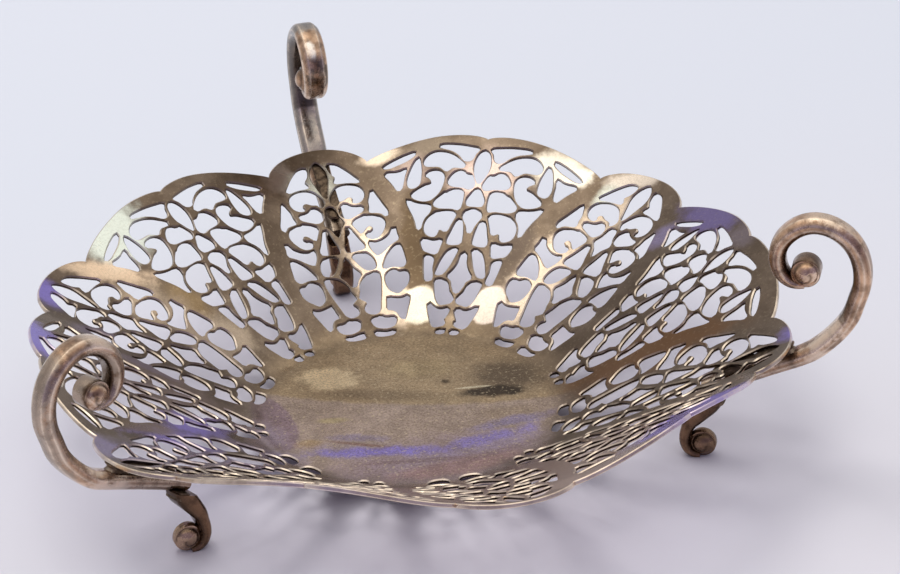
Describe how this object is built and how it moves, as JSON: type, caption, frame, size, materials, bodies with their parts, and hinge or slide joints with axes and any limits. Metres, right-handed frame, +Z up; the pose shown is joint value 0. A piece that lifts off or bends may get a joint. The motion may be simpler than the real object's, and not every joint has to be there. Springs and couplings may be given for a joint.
{
  "type": "bonbon dish",
  "caption": "Round pierced metal dish with a flat floor and a wavy scalloped wall, standing on small scroll feet, with scroll handles rising at the rim.",
  "frame": {"origin": "centre of the flat floor's top face, inside the dish", "axes": "+Z up, square to the floor; +Y towards the middle of one handle's petal"},
  "size_m": [0.1656, 0.173, 0.0563],
  "materials": {
    "dish_silver": "tarnished silver, polished once, now olive and grey with bright worn bands",
    "handle_silver": "tarnished silver, brown and grey with worn high edges",
    "foot_silver": "dark tarnished silver",
    "solder": "dull grey solder"
  },
  "bodies": {
    "root": {"pierced_dish": "dish_silver", "scroll_handle_1": "handle_silver", "scroll_handle_2": "handle_silver", "scroll_handle_3": "handle_silver", "scroll_foot_1": "foot_silver", "scroll_foot_2": "foot_silver", "scroll_foot_3": "foot_silver", "rim_solder_1": "solder", "rim_solder_2": "solder", "rim_solder_3": "solder", "strap_solder_1": "solder", "strap_solder_2": "solder", "strap_solder_3": "solder", "foot_solder_1": "solder", "foot_solder_2": "solder", "foot_solder_3": "solder"}
  },
  "joints": []
}
